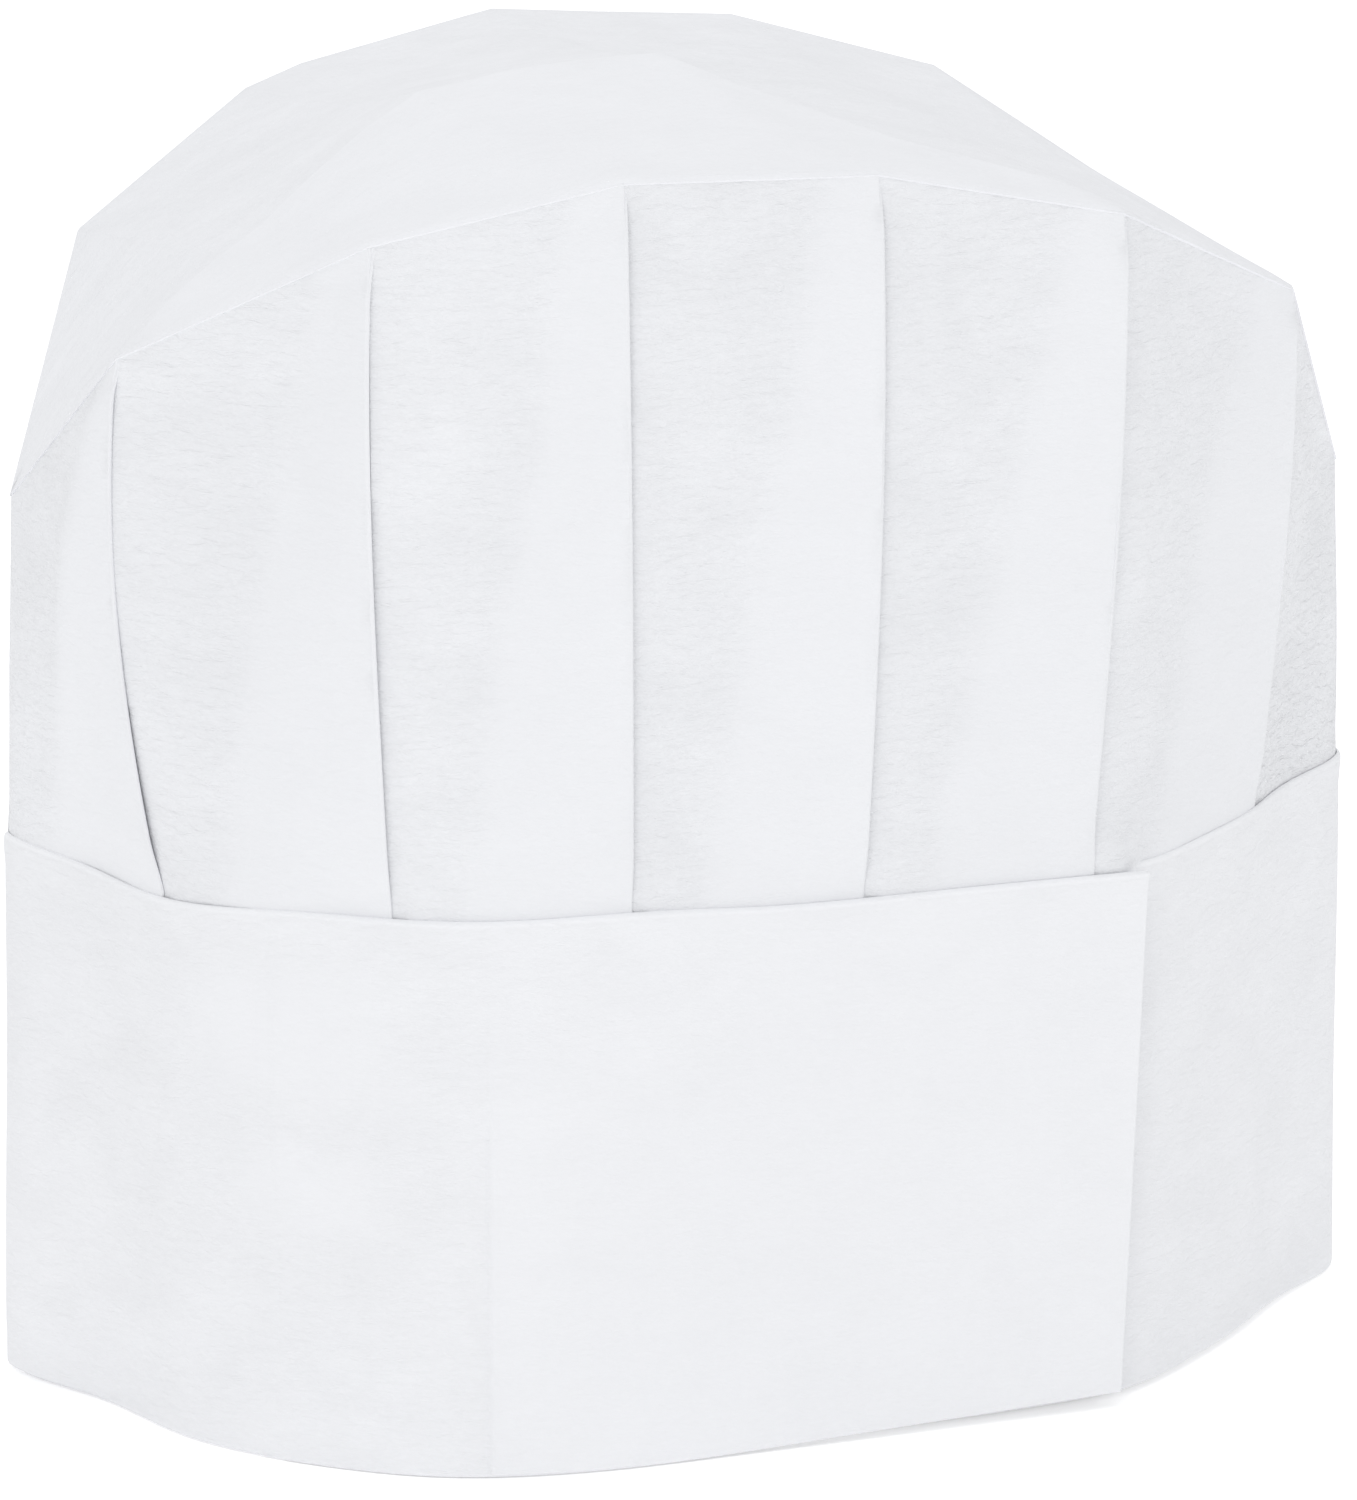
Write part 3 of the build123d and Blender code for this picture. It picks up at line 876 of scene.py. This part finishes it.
def top_panel():
    edge = grown_edge(TOP_OVERHANG)
    front = edge[:len(FRONT)]
    back = np.vstack([edge[len(FRONT) - 1:], edge[:1]])[::-1]
    corners = np.unique(np.round(edge[:, 0], 3))
    xs = np.unique(np.r_[np.linspace(corners[0] + 0.03, corners[-1] - 0.03, 150),
                         corners[1:-1]])
    split = len(FRONT_ROWS)
    shape = (split + len(BACK_ROWS), len(xs))
    points, ply_and_painted_light = np.zeros(shape + (3,)), np.zeros(shape)
    # weights that average the front edge's height along x
    spread = np.linspace(-26, 26, 27)
    weight = hump(spread, 0.0, 12.0)
    weight /= weight.sum()
    for c, x in enumerate(xs):
        front_y, front_z = along_x(front, x)
        back_y, back_z = along_x(back, x)
        ridge_y, ridge_z = along_x(RIDGE, x)
        reach = min(1.0, (x - xs[0]) / 26.0, (xs[-1] - x) / 26.0)
        evened = np.dot(weight, along_x(front, x + spread * reach)[1]) - front_z
        width = max(0.05, back_y - front_y)
        crest = min(0.9, max(0.08, (ridge_y - front_y) / width))
        fade = smooth(-103, -94, x) * smooth(42, 36, x)
        rise = (ridge_z - front_z - (back_z - front_z) * crest) * fade
        sag = 2.2 * smooth(-95, -40, x) * smooth(100, 60, x)
        for r, t in enumerate(np.r_[FRONT_ROWS * crest, crest + (1 - crest) * BACK_ROWS]):
            slope = t / crest if t < crest else (1 - t) / (1 - crest)
            if slope >= 1 - RIDGE_SOFT:
                rest = (1 - slope) / RIDGE_SOFT
                slope = 1 - RIDGE_SOFT + RIDGE_SOFT * (1 - rest ** 2) * 0.5
            y = front_y + width * t
            z = front_z + (back_z - front_z) * t + rise * slope \
                - sag * math.sin(math.pi * max(0.0, (t - crest) / (1 - crest))) \
                + evened * smooth(0, 14, t * width) * max(0.0, 1 - t / 0.8) * fade \
                + 0.35 * wave(x, y, 77, 55.0) * math.sin(math.pi * t)
            # the rim turns down
            lip = 0.55 * max(0.0, 1 - min(t, 1 - t) * width / 0.8)
            points[r, c] = (x, y, z + TOP_RAISE - lip)
        # painted light: the front slope is painted lighter than the back slope, and the ridge
        # row gets a painted highlight
        ply_and_painted_light[:split, c] = 0.32 + 0.55 * fade
        ply_and_painted_light[split:, c] = 0.32
        ply_and_painted_light[split - 1, c] += fade
    uvs = np.stack([points[..., 0], points[..., 1] + points[..., 2] * 0.5], -1)
    normals = grid_normals(points)
    normals[normals[..., 2] < 0] *= -1
    ob = sheet("crown_top_panel", points, uvs, TOP_T, normals)
    mark(ob, np.r_[ply_and_painted_light.ravel(), ply_and_painted_light.ravel()])
    return ob


finish_crown(top_panel(), mat_top, "top_sheet", "crown_top")

# ------------------------------------------------------------------ seams and glue
# Cross-section of the top seam: offset from the walls' upper edge, height above it.
SEAM_SECTION = [(-1.5, -0.35), (-1.5, -1.9), (-1.85, -2.1), (-2.2, -1.9), (-2.2, -0.35)]
SEAM_LOW = 87.0         # lower end of the side seams
SEAM_SHORT = 12.0       # how far they stop below the corner
SEAM_FOLLOW = 0.86      # share of the corner's outward lean they follow


def edge_strip():
    """The pressed seam that turns down inside the wall's upper edge."""
    points = np.array([start + (end - start) * t
                       for start, end in zip(CROWN_EDGE, np.roll(CROWN_EDGE, -1, 0))
                       for t in np.linspace(0, 1, 12, endpoint=False)])
    along = np.roll(points, -1, 0) - np.roll(points, 1, 0)
    normals = np.stack([along[:, 1], -along[:, 0]], -1)
    normals /= np.linalg.norm(normals, axis=1, keepdims=True)
    runs = np.r_[0, np.cumsum(np.linalg.norm(np.diff(points, axis=0), axis=1))]
    rings = [[[*(point[:2] + normal * offset), point[2] + z] for offset, z in SEAM_SECTION]
             for point, normal in zip(points, normals)]
    uvs = [[(run, z) for _, z in SEAM_SECTION] for run in runs]
    return tube("top_edge_seam", rings, uvs, joined=True)


def side_strip(name, arc, corner):
    """Narrow strip inside the crown, where the front and back walls meet."""
    rises, sides = np.linspace(0, 1, 24), np.linspace(-4.5, 4.5, 9)
    points = np.zeros((len(rises), len(sides), 3))
    uvs = np.zeros((len(rises), len(sides), 2))
    for r, rise in enumerate(rises):
        shift = (np.array(corner[:2]) - base(arc)) * rise * SEAM_FOLLOW
        z = SEAM_LOW + (corner[2] - SEAM_SHORT - SEAM_LOW) * rise
        for c, side in enumerate(sides):
            points[r, c] = [*(at(arc + side, WALL_OFF - LAY - 0.75) + shift), z]
            uvs[r, c] = (arc + side, z)
    return sheet(name, points, uvs, 0.25)


def glue_line():
    """Flat bead of uneven width around the inside of the band."""
    rings, uvs = [], []
    for arc in np.linspace(0, GIRTH, 361)[:-1]:
        uneven = 0.9 * wave(arc, 0, 5, 18.0)
        section = np.array([(-3.38, 64.0 + uneven), (-3.25, 64.6 + uneven), (-3.22, 67.0),
                            (-3.25, 69.4 - uneven), (-3.38, 70 - uneven)])
        rings.append(np.c_[at(arc, section[:, 0]), section[:, 1]])
        uvs.append(outline_part(arc, section[:, 1]))
    return tube("glue_bead", rings, uvs, joined=True)


finish_crown(edge_strip(), mat_seam, "seam_strip", "top_seam")
for node, arc, corner in (("side_seam_left", 0.0, LEFT_CORNER),
                          ("side_seam_right", GIRTH / 2, RIGHT_CORNER)):
    finish_crown(side_strip(node + "_strip", arc, corner), mat_seam, "seam_strip", node)

glue = glue_line()
finish_piece(glue, mat_glue, "hot_melt", "band_glue_line")
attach(glue, "hat")


# ------------------------------------------------------------------ closure tape
def dress_tape(mesh):
    """The loaded tape keeps its shape and gets UVs from its x and z."""
    layer = mesh.uv_layers.get("UVMap") or mesh.uv_layers.new(name="UVMap")
    for loop in mesh.loops:
        place = mesh.vertices[loop.vertex_index].co
        layer.data[loop.index].uv = (place.x, place.z)
    mesh.materials.clear()
    mesh.materials.append(mat_tape)


tape = bpy.data.objects.get("closure_tape")
if tape is not None:    # the loaded pieces may have no tape
    dress_tape(tape.data)


# ------------------------------------------------------------------ floor, light, camera
def studio_floor():
    # a hair below the hat, so the two do not touch
    bpy.ops.mesh.primitive_plane_add(size=14, location=(0, 2.0, -0.0002))
    floor = bpy.context.object
    floor.name = "studio_floor"
    material = bpy.data.materials.new("studio_floor")
    material.use_nodes = True
    inputs = material.node_tree.nodes["Principled BSDF"].inputs
    inputs["Base Color"].default_value = (0.93, 0.93, 0.93, 1)
    inputs["Roughness"].default_value = 0.9
    inputs["Specular IOR Level"].default_value = 0.1
    inputs["Emission Color"].default_value = (1, 1, 1, 1)
    inputs["Emission Strength"].default_value = 0.30
    floor.data.materials.append(material)


def studio_world():
    """A dimmer sky lights the hat; the camera sees a brighter white one."""
    world = bpy.data.worlds.new("studio")
    bpy.context.scene.world = world
    world.use_nodes = True
    graph = Graph(world.node_tree)
    output = graph.node("OutputWorld")
    light = graph.node("Background", {"Color": (0.99, 0.995, 1.0, 1), "Strength": 0.737})
    seen = graph.node("Background", {"Color": (1, 1, 1, 1), "Strength": 1.3})
    path = graph.node("LightPath")
    mix = graph.node("MixShader", {0: path.outputs["Is Camera Ray"], 1: light.outputs[0],
                                   2: seen.outputs[0]})
    graph.feed(output.inputs[0], mix.outputs[0])


def place_aimed(name, data, location, target):
    """Object that looks along its -Z axis at the target."""
    ob = bpy.data.objects.new(name, data)
    ob.location = location
    ob.rotation_mode = "QUATERNION"
    ob.rotation_quaternion = (Vector(target) - Vector(location)).to_track_quat("-Z", "Y")
    bpy.context.scene.collection.objects.link(ob)
    return ob


# Disk lights: name, location (m), diameter (m), power (W).
LIGHTS = [
    ("key", (-1.36, -1.57, 1.20), 0.7, 4.2),
    ("right", (1.33, -1.59, 1.20), 1.2, 2.0),
    ("overhead", (-0.3, -0.7, 2.1), 1.5, 7.4),
    ("rear", (0.1, 0.9, 2.0), 1.5, 6.0),
]
LIGHT_TARGET = (0, 0, 0.10)
CAMERA_PLACE = (-0.6136104, -1.4655992, 0.488176)
CAMERA_TARGET = (-0.00640016, -0.01321528, 0.09568)

studio_floor()
studio_world()
for name, location, size, power in LIGHTS:
    light = bpy.data.lights.new(name, "AREA")
    light.shape = "DISK"
    light.size = size
    light.energy = power
    place_aimed(name, light, location, LIGHT_TARGET)

camera = bpy.data.cameras.new("camera")
camera.sensor_width = 36.0
camera.lens = 250.776
camera.clip_start = 0.05
bpy.context.scene.camera = place_aimed("camera", camera, CAMERA_PLACE, CAMERA_TARGET)

bpy.context.scene.view_settings.view_transform = "Standard"
bpy.context.scene.view_settings.look = "None"

bpy.context.view_layer.update()
